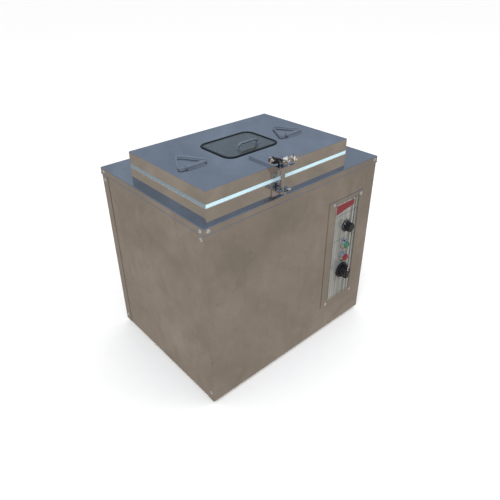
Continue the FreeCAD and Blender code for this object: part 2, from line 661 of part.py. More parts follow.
def hinge_parts(on_lid):
    leaves = []
    third = HINGE_L / 3
    for s in (-1, 1):
        x0 = LID_X + s * HINGE_X - HINGE_L / 2
        if on_lid:
            leaf = box(x0, x0 + HINGE_L, LID_REAR, LID_REAR + 1.5, Z_SKIRT + 1.2, Z_SKIRT + 19)
            spans, z0, z1, bore = [(1, 2)], HINGE_Z, Z_SKIRT + 1.2, HINGE_PIN_R + FIT
        else:
            leaf = box(x0, x0 + HINGE_L, LID_REAR, LID_REAR + 1.5, Z_RIM - 22, Z_RIM - 1.2)
            spans, z0, z1, bore = [(0, 1), (2, 3)], Z_RIM - 1.2, HINGE_Z, HINGE_PIN_R
        knuckles = [knuckle(x0 + a * third + 0.2, x0 + b * third - 0.2, z0, z1, bore) for a, b in spans]
        leaves.append(fused([leaf] + knuckles))
    return group(leaves)


def hinge_pins():
    pins = []
    for s in (-1, 1):
        x0 = LID_X + s * HINGE_X - HINGE_L / 2
        shaft = rod(HINGE_PIN_R, (x0 - 1.5, HINGE_Y, HINGE_Z), (x0 + HINGE_L + 1.5, HINGE_Y, HINGE_Z))
        heads = [rod(3.0, (a, HINGE_Y, HINGE_Z), (a + 1.5, HINGE_Y, HINGE_Z)) for a in (x0 - 1.5, x0 + HINGE_L)]
        pins.append(fused([shaft] + heads))
    return group(pins)


# ---- latch ----------------------------------------------------------------------------------
def latch_bracket():
    """A plate on the lid that overhangs its front edge, with a leg down the skirt and two gussets."""
    half, top, face = LATCH_W / 2, Z_LID + LATCH_PLATE, LID_FRONT
    plate = box(LATCH_X - half, LATCH_X + half, LATCH_Y - 12, LID_FRONT + LATCH_REACH, Z_LID, top)
    plate = plate.makeFillet(2.5, [e for e in plate.Edges if is_upright(e)])
    leg = box(LATCH_X - half + 1, LATCH_X + half - 1, face - 2, face, Z_SKIRT + 1.5, Z_LID)
    gussets = []
    for x in (LATCH_X - half + 2, LATCH_X + half - 4):
        corners = [V(x, face - 2, Z_LID), V(x, LATCH_Y - 6, Z_LID), V(x, face - 2, Z_LID - 13)]
        gussets.append(Part.Face(Part.makePolygon(corners + corners[:1])).extrude(V(2, 0, 0)))
    hole = rod(BOLT_R + FIT, (LATCH_X, LATCH_Y, Z_LID - 1), (LATCH_X, LATCH_Y, top + 1))
    return fused([plate, leg] + gussets).cut(hole)


def latch_keeper():
    """A plate on the collar with a slotted fork that the bolt's tee foot turns under."""
    face = LID_FRONT
    base = box(LATCH_X - 14, LATCH_X + 14, face - 2, face, Z_DECK + 2, Z_RIM - 1.5)
    fork = box(LATCH_X - 12, LATCH_X + 12, LATCH_Y - 10, face - 2, Z_FORK, Z_FORK + 3)
    tips = [e for e in fork.Edges if is_upright(e) and e.Vertexes[0].Y < LATCH_Y]
    fork = fork.makeFillet(3.0, tips)
    slot = box(LATCH_X - 4.5, LATCH_X + 4.5, LATCH_Y - 11, face - 2.7, Z_FORK - 1, Z_FORK + 4)
    return fused([base, fork.cut(slot)])


def latch_washer():
    profile = [(BOLT_R + FIT, -1.5), (8.5, -1.5), (8.5, 0), (BOLT_R + FIT, 0)]
    return turned(profile, (LATCH_X, LATCH_Y, Z_NUT), (0, 0, 1))


def clamp_bolt():
    """The bolt with its tee foot, released: the tee lies along the fork's slot."""
    tip = Z_NUT + 12.5
    shank = rod(BOLT_R, (LATCH_X, LATCH_Y, Z_TEE - TEE_H), (LATCH_X, LATCH_Y, tip))
    shank = shank.makeChamfer(0.8, edges_at(shank, tip))
    tee = centred(LATCH_X, LATCH_Y, TEE_W, TEE_L, Z_TEE - TEE_H, Z_TEE)
    return fused([shank, tee])


def wing_nut():
    profile = [(BOLT_R, 0), (8.0, 0), (7.0, 9.5), (6.2, 10.3), (BOLT_R, 10.3)]
    hub = turned(profile, (LATCH_X, LATCH_Y, Z_NUT), (0, 0, 1))
    half = NUT_SPAN / 2
    wings = []
    for s in (-1, 1):
        x = LATCH_X + s * (half - 6)
        wings.append(rod(6.0, (x, LATCH_Y - 1.8, Z_NUT + 6.5), (x, LATCH_Y + 1.8, Z_NUT + 6.5)))
        corners = [(5.0, 1.2), (half - 6, 0.5), (half - 6, 12.0), (5.0, 8.5)]
        web = Part.Face(Part.makePolygon([V(LATCH_X + s * a, LATCH_Y - 1.8, Z_NUT + b)
                                          for a, b in corners + corners[:1]]))
        wings.append(web.extrude(V(0, 3.6, 0)))
    bore = rod(BOLT_R, (LATCH_X, LATCH_Y, Z_NUT - 1), (LATCH_X, LATCH_Y, Z_NUT + 20))
    nut = fused([hub] + wings).cut(bore)
    nut.rotate(V(LATCH_X, LATCH_Y, 0), V(0, 0, 1), NUT_TURN)
    return nut


NODES = {
    "base_pan": base_pan,
    "front_panel": front_panel,
    "rear_panel": rear_panel,
    "left_panel": lambda: side_panel(-1),
    "right_panel": lambda: side_panel(1),
    "top_deck": top_deck,
    "feet": feet,
    "foot_screws": foot_screws,
    "casing_screws": lambda: group([screw(*place, CASE_SHANK) for place in side_screws()]),
    "tank_collar": tank_collar,
    "inner_tank": inner_tank,
    "partition_right": partition_right,
    "partition_rear": partition_rear,
    "insulation_tray": insulation_tray,
    "insulation_jacket": insulation_jacket,
    "insulation_base": insulation_base,
    "heating_element": heating_element,
    "element_clamps": element_clamps,
    "clamp_studs": clamp_studs,
    "thermostat_body": thermostat_body,
    "thermostat_probe": thermostat_probe,
    "selector_switch": selector_switch,
    "bush_nuts": bush_nuts,
    "panel_plate": panel_plate,
    "label_plate": label_plate,
    "panel_screws": lambda: group([screw(*place, PANEL_SHANK) for place in panel_screws()]),
    "green_lamp_bezel": lambda: lamp_bezel(GREEN_Z),
    "green_lamp": lambda: lamp(GREEN_Z),
    "red_lamp_bezel": lambda: lamp_bezel(RED_Z),
    "red_lamp": lambda: lamp(RED_Z),
    "thermostat_knob": lambda: dial_knob(THERMO_Z, 13.0, 9.4, 14.0),
    "thermostat_spindle": lambda: spindle(THERMO_Z, 12),
    "selector_knob": lambda: pointer_knob(SWITCH_Z, 17.5, 11.5, 17.0),
    "selector_spindle": lambda: spindle(SWITCH_Z, 12),
    "terminal_block": terminal_block,
    "cable_gland": cable_gland,
    "gland_locknut": gland_locknut,
    "lid_shell": lid_shell,
    "window_frame": window_frame,
    "lid_liner": lid_liner,
    "lid_insulation": lid_insulation,
    "lid_gasket": lid_gasket,
    "left_ring_bracket": lambda: ring_bracket(-1),
    "right_ring_bracket": lambda: ring_bracket(1),
    "left_ring_pull": lambda: ring_pull(-1),
    "right_ring_pull": lambda: ring_pull(1),
    "cover_glass": cover_glass_drilled,
    "cover_edging": cover_edging,
    "cover_handle": cover_handle,
    "cover_nuts": cover_nuts,
    "lid_hinge_leaves": lambda: hinge_parts(True),
    "body_hinge_leaves": lambda: hinge_parts(False),
    "hinge_pins": hinge_pins,
    "latch_bracket": latch_bracket,
    "latch_keeper": latch_keeper,
    "latch_washer": latch_washer,
    "clamp_bolt": clamp_bolt,
    "wing_nut": wing_nut,
}


def main():
    os.makedirs("parts", exist_ok=True)
    for name, make in NODES.items():
        shape = make()
        if not shape.isValid() or not shape.Solids:
            print("BAD", name, shape.isValid(), len(shape.Solids))
        shape.exportStep("parts/" + name + ".step")
    print(len(NODES), "nodes")


main()
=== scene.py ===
"""Looks for the paraffin wax bath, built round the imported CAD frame. Metres, in the frame's axes."""
import math

import bmesh
import bpy
from mathutils import Matrix, Vector


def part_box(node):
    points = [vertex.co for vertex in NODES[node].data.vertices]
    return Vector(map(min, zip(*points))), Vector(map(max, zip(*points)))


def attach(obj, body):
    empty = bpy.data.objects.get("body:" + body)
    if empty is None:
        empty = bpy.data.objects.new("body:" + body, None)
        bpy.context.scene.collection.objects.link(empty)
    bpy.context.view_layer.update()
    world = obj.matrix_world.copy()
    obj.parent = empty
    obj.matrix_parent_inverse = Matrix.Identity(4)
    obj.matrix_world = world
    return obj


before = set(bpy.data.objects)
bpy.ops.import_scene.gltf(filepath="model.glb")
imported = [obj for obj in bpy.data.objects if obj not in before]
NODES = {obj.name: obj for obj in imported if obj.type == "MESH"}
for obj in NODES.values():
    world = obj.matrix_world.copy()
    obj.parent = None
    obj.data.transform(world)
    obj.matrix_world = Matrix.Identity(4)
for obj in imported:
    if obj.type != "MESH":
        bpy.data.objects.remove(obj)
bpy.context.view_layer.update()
SCENE = bpy.context.scene


# ---- node helpers ---------------------------------------------------------------------------
class Tree:
    """A small wrapper that builds a node tree with plain calls."""

    def __init__(self, tree, space):
        self.tree = tree
        self.tree.nodes.clear()
        self.coord = self.node("TexCoord").outputs[space]

    def node(self, kind, **values):
        n = self.tree.nodes.new("ShaderNode" + kind)
        for key, value in values.items():
            setattr(n, key, value)
        return n

    def link(self, a, b):
        self.tree.links.new(a, b)

    def put(self, socket, value):
        """Links a socket, or sets a plain value or a colour."""
        if hasattr(value, "links"):
            self.link(value, socket)
        elif isinstance(value, (tuple, list)) and len(value) == 3 and socket.type == "RGBA":
            socket.default_value = (*value, 1.0)
        else:
            socket.default_value = value

    def math(self, op, a, b=0.0):
        n = self.node("Math", operation=op)
        self.put(n.inputs[0], a)
        self.put(n.inputs[1], b)
        return n.outputs[0]

    def scaled(self, scale, offset=(0, 0, 0)):
        """The coordinates times a scale, for the noise that reads them."""
        n = self.node("Mapping")
        self.link(self.coord, n.inputs[0])
        n.inputs["Location"].default_value = offset
        n.inputs["Scale"].default_value = scale if isinstance(scale, tuple) else (scale,) * 3
        return n.outputs[0]

    def noise(self, vector, scale=1.0, detail=3.0, rough=0.5, distortion=0.0):
        n = self.node("TexNoise")
        self.link(vector, n.inputs["Vector"])
        n.inputs["Scale"].default_value = scale
        n.inputs["Detail"].default_value = detail
        n.inputs["Roughness"].default_value = rough
        n.inputs["Distortion"].default_value = distortion
        return n.outputs["Fac"]

    def mix(self, fac, a, b, blend="MIX"):
        n = self.node("Mix", data_type="RGBA", blend_type=blend)
        self.put(n.inputs[0], fac)
        self.put(n.inputs[6], a)
        self.put(n.inputs[7], b)
        return n.outputs[2]

    def span(self, value, low, high, to_low=0.0, to_high=1.0):
        """A smooth step from one value to another as the input goes from low to high."""
        n = self.node("MapRange", interpolation_type="SMOOTHSTEP")
        for socket, v in zip(n.inputs, (value, low, high, to_low, to_high)):
            self.put(socket, v)
        return n.outputs[0]

    def bump(self, height, strength, distance, normal=None):
        n = self.node("Bump")
        n.inputs["Strength"].default_value = strength
        n.inputs["Distance"].default_value = distance
        self.put(n.inputs["Height"], height)
        if normal is not None:
            self.link(normal, n.inputs["Normal"])
        return n.outputs[0]

    def xyz(self, source=None):
        n = self.node("SeparateXYZ")
        self.link(source or self.coord, n.inputs[0])
        return n.outputs


class Shader(Tree):
    """A material with one Principled surface."""

    def __init__(self, name):
        self.mat = bpy.data.materials.new(name)
        self.mat.use_nodes = True
        super().__init__(self.mat.node_tree, "Object")
        self.bsdf = self.node("BsdfPrincipled")
        self.link(self.bsdf.outputs[0], self.node("OutputMaterial").inputs[0])

    def set(self, **values):
        for key, value in values.items():
            self.put(self.bsdf.inputs[key.replace("_", " ")], value)
        return self

    def facing(self):
        """The surface's own normal, in the object's axes."""
        return self.xyz(self.node("TexCoord").outputs["Normal"])


# ---- surfaces -------------------------------------------------------------------------------
GRIME = (0.36, 0.33, 0.29)


def shade(colour, factor):
    return tuple(c * factor for c in colour)


def polished_steel(name, tint, dark, smudge=0.5, warp=1.0, rough=(0.05, 0.16), grime=0.0, hairline=0.03):
    """Bright sheet steel: rolling waves, finger smudges, polishing hairlines and a faint tint."""
    s = Shader(name)
    broad = s.noise(s.scaled(6.0, (0.3, 0.1, 0.7)), 1.0, 3.0, 0.55, 0.4)
    cloud = s.noise(s.scaled((17.0, 17.0, 12.0)), 1.0, 5.0, 0.62, 0.9)
    streak = s.noise(s.scaled((70.0, 70.0, 7.0), (2, 5, 1)), 1.0, 4.0, 0.6, 0.5)
    fine = s.noise(s.scaled((60.0, 60.0, 900.0)), 1.0, 2.0, 0.5)
    hair = s.noise(s.scaled((900.0, 900.0, 25.0), (2, 1, 0)), 1.0, 2.0, 0.5)
    colour = s.mix(s.span(broad, 0.35, 0.68), dark, tint)
    worn = s.math("MULTIPLY", s.span(cloud, 0.48, 0.72), 0.35 * smudge)
    colour = s.mix(worn, colour, shade(tint, 0.78))
    wiped = s.math("MULTIPLY", s.span(streak, 0.55, 0.78), 0.3 * smudge)
    colour = s.mix(wiped, colour, shade(tint, 0.8))
    if grime:
        spots = s.noise(s.scaled(55.0), 1.0, 4.0, 0.7, 0.3)
        colour = s.mix(s.math("MULTIPLY", s.span(spots, 0.56, 0.75), grime), colour, GRIME)
    low, high = rough
    roughness = s.span(cloud, 0.35, 0.75, low, high)
    roughness = s.math("ADD", roughness, s.math("MULTIPLY", s.span(hair, 0.55, 0.8), 0.05))
    waves = s.noise(s.scaled(7.5, (1.7, 0.4, 0.2)), 1.0, 2.0, 0.45, 0.6)
    dents = s.noise(s.scaled(26.0, (0.2, 3.4, 0.2)), 1.0, 2.0, 0.5)
    normal = s.bump(waves, 0.35 * warp, 0.012)
    normal = s.bump(dents, 0.10 * warp, 0.003, normal)
    normal = s.bump(fine, hairline, 0.0004, normal)
    normal = s.bump(hair, hairline, 0.0004, normal)
    return s.set(Base_Color=colour, Metallic=1.0, Roughness=roughness, Normal=normal)


def plain_metal(name, colour, low, high, scale=90.0, bump=0.08):
    """Turned, plated or foundry-made metal with a fine grain and worn patches."""
    s = Shader(name)
    grain = s.noise(s.scaled(scale), 1.0, 4.0, 0.6)
    wear = s.noise(s.scaled(scale * 0.2, (4, 2, 1)), 1.0, 3.0, 0.6)
    tone = s.mix(s.span(wear, 0.35, 0.7), shade(colour, 0.8), colour)
    return s.set(Base_Color=tone, Metallic=1.0, Roughness=s.span(grain, 0.3, 0.7, low, high),
                 Normal=s.bump(grain, bump, 0.0005))


def glinting_metal(name):
    """Plated metal with painted glints and painted shade: near-white spots beside near-black patches, from
    one noise that also bumps the surface.
    """
    s = Shader(name)
    painted_glint_and_bump = s.noise(s.scaled(110.0, (0.4, 0.2, 0.7)), 1.0, 3.0, 0.6, 0.6)
    grain = s.noise(s.scaled(300.0), 1.0, 3.0, 0.6)
    # Painted shade and painted glints: near-black patches, then near-white spots where the noise is high.
    tone = s.mix(s.span(painted_glint_and_bump, 0.40, 0.50), (0.05, 0.05, 0.055), (0.55, 0.55, 0.55))
    tone = s.mix(s.span(painted_glint_and_bump, 0.54, 0.62), tone, (0.95, 0.96, 0.97))
    # The near-white spots turn less metallic, so that their painted white shows as a glint.
    return s.set(Base_Color=tone, Metallic=s.span(painted_glint_and_bump, 0.54, 0.62, 0.95, 0.55),
                 Roughness=s.span(grain, 0.3, 0.7, 0.08, 0.2), Normal=s.bump(painted_glint_and_bump, 0.5, 0.002))


def plastic(name, colour, low, high, grain=900.0, bump=0.06, coat=0.0):
    """Moulded plastic, rubber, wool or print: a pebbled surface with a little pale dust."""
    s = Shader(name)
    pebble = s.noise(s.scaled(grain), 1.0, 2.0, 0.5)
    dust = s.noise(s.scaled(140.0, (3, 1, 5)), 1.0, 5.0, 0.7)
    pale = tuple(min(1, c * 1.5 + 0.03) for c in colour)
    tone = s.mix(s.math("MULTIPLY", s.span(dust, 0.5, 0.8), 0.25), colour, pale)
    return s.set(Base_Color=tone, Roughness=s.span(dust, 0.35, 0.7, low, high), Coat_Weight=coat,
                 Normal=s.bump(pebble, bump, 0.0004))


def assign(node, mat):
    """Gives a CAD node one material in place of its own."""
    ob = NODES[node]
    ob.data.materials.clear()
    ob.data.materials.append(mat)


# ---- materials ------------------------------------------------------------------------------
STEEL = polished_steel("casing_mirror_steel", (0.64, 0.63, 0.62), (0.57, 0.56, 0.55), 1.5, 0.3,
                       (0.02, 0.08), 0.3, 0.010).mat
LID_STEEL = polished_steel("lid_mirror_steel", (0.66, 0.66, 0.66), (0.60, 0.60, 0.60), 0.5, 0.05,
                           (0.004, 0.03), 0.0, 0.003).mat
TANK_STEEL = polished_steel("tank_steel", (0.62, 0.61, 0.60), (0.52, 0.51, 0.50), 0.6, 0.3,
                            (0.22, 0.36)).set(Metallic=0.72).mat
PANEL_STEEL = polished_steel("panel_mirror_steel", (0.66, 0.64, 0.62), (0.56, 0.55, 0.53), 0.6, 0.4,
                             (0.06, 0.13)).mat
CHROME = plain_metal("chrome_fittings", (0.74, 0.74, 0.75), 0.05, 0.14, 60.0, 0.04).mat
NUT_STEEL = glinting_metal("wing_nut_steel").mat
ZINC = plain_metal("zinc_screws", (0.80, 0.80, 0.79), 0.2, 0.36, 300.0, 0.1).set(Metallic=0.75).mat
GALVANISED = plain_metal("galvanised_sheet", (0.52, 0.54, 0.56), 0.3, 0.5, 60.0, 0.1).mat
SHEATH = plain_metal("element_oxide", (0.16, 0.14, 0.13), 0.45, 0.65, 200.0, 0.2).mat
BRASS = plain_metal("brass_fittings", (0.70, 0.50, 0.20), 0.15, 0.3, 200.0, 0.1).mat
BLACK = plastic("black_knob_plastic", (0.008, 0.008, 0.011), 0.14, 0.30, 900.0, 0.08, 0.2).mat
RUBBER = plastic("black_rubber", (0.004, 0.005, 0.006), 0.30, 0.50, 500.0, 0.12).mat
CREAM = plastic("switch_plastic", (0.62, 0.58, 0.47), 0.4, 0.6).mat
WOOL = plastic("mineral_wool_board", (0.70, 0.62, 0.40), 0.8, 0.95, 260.0, 0.8).mat
PRINT_RED = plastic("red_print", (0.17, 0.016, 0.024), 0.2, 0.35, 300.0, 0.03, 0.1).mat
PRINT_DARK = plastic("dark_print", (0.03, 0.03, 0.035), 0.3, 0.5, 300.0, 0.02).mat
PRINT_WHITE = plastic("white_print", (0.80, 0.80, 0.78), 0.4, 0.6, 300.0, 0.02).mat


STREAKED_X = (0.118, 0.158)                            # the streaks grow from the first X to the second


def label_metal():
    """A satin plate with a pale print, brushed along its height, with darker streaks to one side."""
    s = Shader("label_plate_metal")
    brush = s.noise(s.scaled((520.0, 40.0, 3.0)), 1.0, 3.0, 0.6)
    streak = s.noise(s.scaled((230.0, 40.0, 2.0), (4, 0, 1)), 1.0, 4.0, 0.65)
    cloud = s.noise(s.scaled((30.0, 30.0, 12.0), (1, 0, 2)), 1.0, 4.0, 0.6, 0.5)
    across = s.span(s.xyz()[0], *STREAKED_X, 0.25, 0.85)
    tone = s.mix(s.span(brush, 0.35, 0.7), (0.34, 0.35, 0.34), (0.46, 0.48, 0.46))
    tone = s.mix(s.math("MULTIPLY", s.span(cloud, 0.45, 0.75), 0.5), tone, (0.27, 0.27, 0.25))
    lines = s.math("MULTIPLY", s.span(streak, 0.46, 0.60), across)
    tone = s.mix(lines, tone, (0.075, 0.075, 0.068))
    normal = s.bump(s.noise(s.scaled((45.0, 45.0, 8.0)), 1.0, 2.0, 0.5), 0.25, 0.0035)
    s.set(Base_Color=tone, Metallic=0.45, Roughness=s.span(brush, 0.3, 0.7, 0.16, 0.30),
          Normal=s.bump(brush, 0.08, 0.0004, normal))
    return s.mat


def silicone():
    """White silicone strip with a bluish tint and fine lines along its run, with painted shade that darkens
    its left-facing side to blue-grey.
    """
    s = Shader("white_silicone_gasket")
    cloud = s.noise(s.scaled(30.0), 1.0, 4.0, 0.6)
    run = s.noise(s.scaled((40.0, 40.0, 400.0)), 1.0, 3.0, 0.5)
    tone = s.mix(cloud, (0.42, 0.62, 0.70), (0.58, 0.78, 0.85))
    # Painted shade: faces turned to the left (-X) are darkened towards blue-grey.
    painted_shade_side = s.math("MULTIPLY", s.span(s.facing()[0], -0.4, -0.9), 0.85)
    tone = s.mix(painted_shade_side, tone, (0.10, 0.14, 0.18))
    s.set(Base_Color=tone, Roughness=0.32, Normal=s.bump(run, 0.12, 0.001))
    return s.mat


def window_glass():
    """Smoky glass with a strong surface reflection and a faint smear."""
    s = Shader("window_glass")
    smear = s.noise(s.scaled((14.0, 26.0, 14.0)), 1.0, 2.0, 0.5, 0.5)
    s.set(Base_Color=(0.34, 0.40, 0.35), Roughness=s.span(smear, 0.4, 0.8, 0.0, 0.03), IOR=1.6,
          Transmission_Weight=0.9, Coat_Weight=0.6, Normal=s.bump(smear, 0.02, 0.001))
    s.bsdf.inputs["Coat IOR"].default_value = 1.8
    return s.mat


def lens(name, colour, deep):
    """A moulded lamp lens: darker towards its rim, with a fine prism pattern under the gloss."""
    s = Shader(name)
    ripple = s.noise(s.scaled(500.0), 1.0, 1.0, 0.4)
    rim = s.node("LayerWeight").outputs["Facing"]
    tone = s.mix(s.span(rim, 0.15, 0.75), colour, deep)
    s.set(Base_Color=tone, Roughness=0.10, Transmission_Weight=0.15, IOR=1.5, Coat_Weight=0.6,
          Normal=s.bump(ripple, 0.1, 0.0006))
    return s.mat


LABEL = label_metal()
GASKET = silicone()
GLASS = window_glass()
GREEN = lens("green_lens", (0.035, 0.20, 0.10), (0.01, 0.075, 0.035))
RED = lens("red_lens", (0.26, 0.018, 0.028), (0.085, 0.008, 0.012))

LOOKS = {
    STEEL: ["base_pan", "front_panel", "rear_panel", "left_panel", "right_panel", "top_deck"],
    LID_STEEL: ["tank_collar", "lid_shell", "window_frame", "lid_liner"],
    TANK_STEEL: ["inner_tank"],
    PANEL_STEEL: ["panel_plate"],
    LABEL: ["label_plate"],
    CHROME: ["green_lamp_bezel", "red_lamp_bezel", "left_ring_bracket", "right_ring_bracket",
             "left_ring_pull", "right_ring_pull", "cover_handle", "cover_nuts", "lid_hinge_leaves",
             "body_hinge_leaves", "hinge_pins", "latch_bracket", "latch_keeper", "clamp_bolt"],
    NUT_STEEL: ["wing_nut", "latch_washer"],
    ZINC: ["casing_screws", "panel_screws", "foot_screws", "clamp_studs", "thermostat_spindle",
           "selector_spindle"],
    GALVANISED: ["partition_right", "partition_rear", "insulation_tray", "element_clamps"],
    SHEATH: ["heating_element"],
    BRASS: ["thermostat_probe", "bush_nuts"],
    WOOL: ["insulation_jacket", "insulation_base", "lid_insulation"],
    GASKET: ["lid_gasket"],
    RUBBER: ["cover_edging", "feet"],
    GLASS: ["cover_glass"],
    BLACK: ["thermostat_knob", "selector_knob", "cable_gland", "gland_locknut"],
    CREAM: ["thermostat_body", "selector_switch", "terminal_block"],
    GREEN: ["green_lamp"],
    RED: ["red_lamp"],
}

MM = 0.001
BEVEL_SEGMENTS = 2
SHARP_ANGLE = 40                                       # degrees; edges sharper than this are rounded
SOFT_EDGES = {                                         # millimetres
    "wing_nut": 1.5, "latch_bracket": 0.45, "latch_keeper": 0.4, "lid_shell": 0.7, "tank_collar": 0.6,
    "panel_plate": 0.25, "label_plate": 0.2, "top_deck": 0.35, "front_panel": 0.3, "rear_panel": 0.3,
}

for look, names in LOOKS.items():
    for name in names:
        assign(name, look)


def soften(node, width):
    """Rounds a CAD node's sharp edges a little, so that they catch the light."""
    bevel = NODES[node].modifiers.new("edge_softening", "BEVEL")
    bevel.width = width
    bevel.segments = BEVEL_SEGMENTS
    bevel.limit_method = "ANGLE"
    bevel.angle_limit = math.radians(SHARP_ANGLE)
    bevel.harden_normals = True


# ---- printed and moulded marks ----------------------------------------------------------------
LABEL_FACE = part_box("label_plate")[0][1]
DIAL_LOW, DIAL_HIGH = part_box("thermostat_knob")
KNOB_LOW, KNOB_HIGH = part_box("selector_knob")
KNOB_X = (DIAL_LOW[0] + DIAL_HIGH[0]) / 2
DIAL_Z = (DIAL_LOW[2] + DIAL_HIGH[2]) / 2
SWITCH_Z = (KNOB_LOW[2] + KNOB_HIGH[2]) / 2
ACROSS, UPWARD = Vector((1, 0, 0)), Vector((0, 0, 1))

# Angles are in degrees, clockwise from the top as seen from the front. Lengths are in millimetres.
DIAL_STEPS = [-135 + 15 * i for i in range(19)]
DIAL_OUT, DIAL_IN = (12.75, 2.05), (10.35, 4.60)       # radius and depth of the sloping skirt's marks
LONG_TICK, SHORT_TICK = 0.34, 0.2                      # parts of the skirt's slope
DIAL_TICK_HALF, SWITCH_TICK_HALF = 0.22, 0.45          # half widths
DIAL_FIGURE, SWITCH_FIGURE = 2.0, 5.0                  # heights of the figures
FIGURE_RAISE, FIGURE_DROP = 1.25, 0.9                  # twice their way out of the skirt and in to the axis
SWITCH_STEPS, SWITCH_FIGURES = range(120, 241, 20), (220, 180, 140)
SWITCH_TICK, SWITCH_FIGURE_R = (19.0, 21.6), 25.0      # radii round the selector
POINTER, POINTER_HALF = (4.5, 15.0), 0.5
PRINT_GAP, PRINT_RISE = 0.02, 0.2                      # a mark's root in the plate, and its thickness
PRINT_X0, PRINT_X1 = 99, 167                           # sides of what is printed on the label
RULES_Z, RULE_H = (84, 226, 282), 0.6
HEADER = [(99, 306.5), (152, 306.5), (152, 294.5), (128, 291.5), (99, 286.5)]
INDEX_TOP, INDEX_TIP, INDEX_HALF = 270.5, 267.2, 1.6   # the triangle over the thermostat's dial


def piece(name, data, mat, body):
    """A new visible piece with the material that it is given, riding on a body."""
    ob = bpy.data.objects.new(name, data)
    SCENE.collection.objects.link(ob)
    data.materials.append(mat)
    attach(ob, body)
    return ob


def plates(name, outlines, mat, body, bevel=0.05 * MM):
    """Thin raised shapes: each outline is a list of points and the way that it stands out."""
    bm = bmesh.new()
    for points, rise in outlines:
        base = [bm.verts.new(p) for p in points]
        top = [bm.verts.new(Vector(p) + Vector(rise)) for p in points]
        bm.faces.new(top)
        bm.faces.new(base[::-1])
        for i in range(len(base)):
            j = (i + 1) % len(base)
            bm.faces.new((base[i], base[j], top[j], top[i]))
    bmesh.ops.recalc_face_normals(bm, faces=bm.faces)
    mesh = bpy.data.meshes.new(name)
    bm.to_mesh(mesh)
    bm.free()
    ob = piece(name, mesh, mat, body)
    edge = ob.modifiers.new("edge", "BEVEL")
    edge.width = bevel
    edge.segments = BEVEL_SEGMENTS
    edge.limit_method = "ANGLE"


def on_label(pairs):
    """An outline given as x, z in millimetres, set a little into the label's face and standing out of it."""
    return [(x * MM, LABEL_FACE + PRINT_GAP * MM, z * MM) for x, z in pairs], (0, -PRINT_RISE * MM, 0)


def radial(angle):
    """The way out from a knob's axis."""
    a = math.radians(angle)
    return Vector((math.sin(a), 0, math.cos(a)))


def tick(centre_z, angle, r0, r1, half, depth0, depth1, rise):
    """One mark between two radii; depths are how far its ends stand in front of the label."""
    out = radial(angle)
    side = Vector((out.z, 0, -out.x)) * half * MM
    centre = Vector((KNOB_X, LABEL_FACE, centre_z))
    a = centre + out * r0 * MM - Vector((0, depth0 * MM, 0))
    b = centre + out * r1 * MM - Vector((0, depth1 * MM, 0))
    normal = (b - a).cross(side).normalized()
    if normal.y > 0:
        normal = -normal
    return [a - side, a + side, b + side, b - side], normal * rise * MM


def numeral(name, text, place, right, up, size, mat, body):
    """A small raised figure; figures on a dial are its only lettering."""
    curve = bpy.data.curves.new(name, "FONT")
    curve.body, curve.size, curve.extrude = text, size * MM, 0.06 * MM
    curve.align_x = curve.align_y = "CENTER"
    ob = bpy.data.objects.new(name, curve)
    SCENE.collection.objects.link(ob)
    turn = Matrix((right, up, right.cross(up))).transposed().to_4x4()
    ob.matrix_world = Matrix.Translation(place) @ turn
    curve.materials.append(mat)
    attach(ob, body)


def dial_marks():
    """White ticks and figures on the thermostat dial's sloping skirt."""
    (r0, d0), (r1, d1) = DIAL_OUT, DIAL_IN
    marks = []
    for i, angle in enumerate(DIAL_STEPS):
        reach = LONG_TICK if i % 2 == 0 else SHORT_TICK
        marks.append(tick(DIAL_Z, angle, r0, r0 + (r1 - r0) * reach, DIAL_TICK_HALF,
                          d0, d0 + (d1 - d0) * reach, 0.10))
    plates("thermostat_ticks", marks, PRINT_WHITE, "thermostat_control", 0.02 * MM)
    slope = math.hypot(r0 - r1, d1 - d0)
    for i, angle in enumerate(DIAL_STEPS[2::4]):
        out = radial(angle)
        up = (out * (r0 - r1) + Vector((0, d1 - d0, 0))) / slope
        right = Vector((out.z, 0, -out.x))
        middle = Vector((KNOB_X, LABEL_FACE - (d0 + d1 + FIGURE_RAISE) / 2 * MM, DIAL_Z))
        middle = middle + out * (r0 + r1 - FIGURE_DROP) / 2 * MM
        numeral("thermostat_figure_%d" % (i + 1), str(i + 1), middle, right, up, DIAL_FIGURE, PRINT_WHITE,
                "thermostat_control")


def label_marks():
    """The label's red heading, its rules, the dial's index and the selector's scale."""
    plates("label_header", [on_label(HEADER)], PRINT_RED, "casing")
    rules = [[(PRINT_X0, z), (PRINT_X1, z), (PRINT_X1, z + RULE_H), (PRINT_X0, z + RULE_H)] for z in RULES_Z]
    plates("label_rules", [on_label(rule) for rule in rules], PRINT_DARK, "casing")
    middle = KNOB_X / MM
    index = [(middle - INDEX_HALF, INDEX_TOP), (middle + INDEX_HALF, INDEX_TOP), (middle, INDEX_TIP)]
    plates("thermostat_index", [on_label(index)], PRINT_DARK, "casing")
    marks = [tick(SWITCH_Z, angle, *SWITCH_TICK, SWITCH_TICK_HALF, 0.0, 0.0, 0.18) for angle in SWITCH_STEPS]
    plates("selector_ticks", marks, PRINT_DARK, "casing")
    for i, angle in enumerate(SWITCH_FIGURES):
        place = Vector((KNOB_X, LABEL_FACE - 0.05 * MM, SWITCH_Z)) + radial(angle) * SWITCH_FIGURE_R * MM
        numeral("selector_figure_%d" % i, str(i), place, ACROSS, UPWARD, SWITCH_FIGURE,
                PRINT_DARK, "casing")


def pointer_line():
    """A white line on the selector knob's front, from near its middle to its rim."""
    depth = (LABEL_FACE - KNOB_LOW[1]) / MM - PRINT_GAP
    line = tick(SWITCH_Z, 0, *POINTER, POINTER_HALF, depth, depth, 0.12)
    plates("selector_pointer", [line], PRINT_WHITE, "selector_control", 0.03 * MM)


dial_marks()
label_marks()
pointer_line()
for node, width in SOFT_EDGES.items():
    soften(node, width * MM)


# ---- stage: floor, world, lights, camera ------------------------------------------------------
FLOOR_HALF = 40.0
PAPER_DARK, PAPER_PALE = (0.94, 0.94, 0.94), (0.97, 0.97, 0.97)


